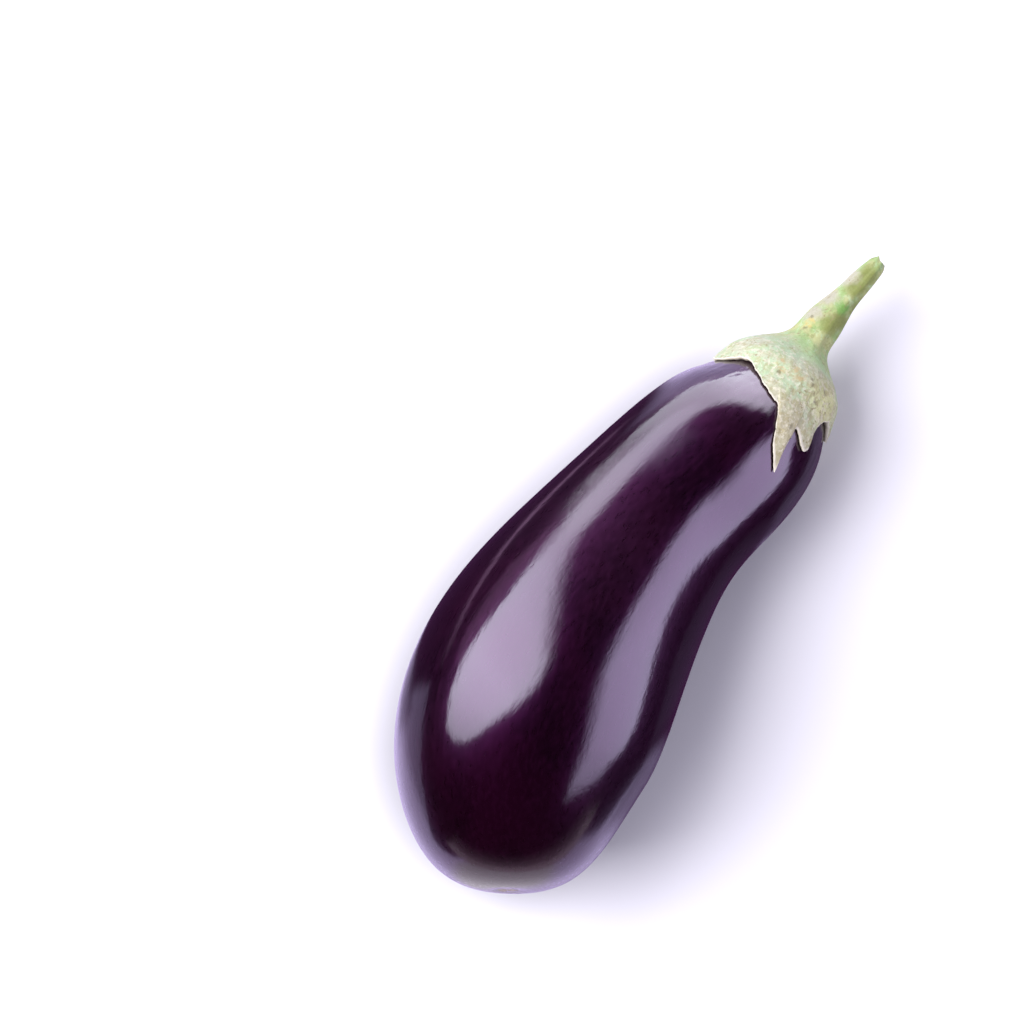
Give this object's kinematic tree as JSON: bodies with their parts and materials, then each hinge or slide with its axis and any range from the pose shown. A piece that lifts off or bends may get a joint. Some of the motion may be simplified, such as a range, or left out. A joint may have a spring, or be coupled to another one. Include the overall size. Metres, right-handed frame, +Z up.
{
  "type": "eggplant",
  "caption": "Long bent eggplant lying on its side, with a glossy dark fruit, a lobed green calyx and a cut stem.",
  "frame": {"origin": "centre of the part's footprint, on the surface that it lies on", "axes": "+Y from the blossom end to the stem, +X to the hollow side of the bend, +Z up"},
  "size_m": [0.0836, 0.2394, 0.0831],
  "materials": {
    "skin": "nearly black purple waxy skin, very glossy",
    "calyx": "dry, matt, pale green to cream calyx with brown specks, greener stem"
  },
  "bodies": {
    "root": {"fruit": "skin", "calyx_and_stem": "calyx"}
  },
  "joints": []
}
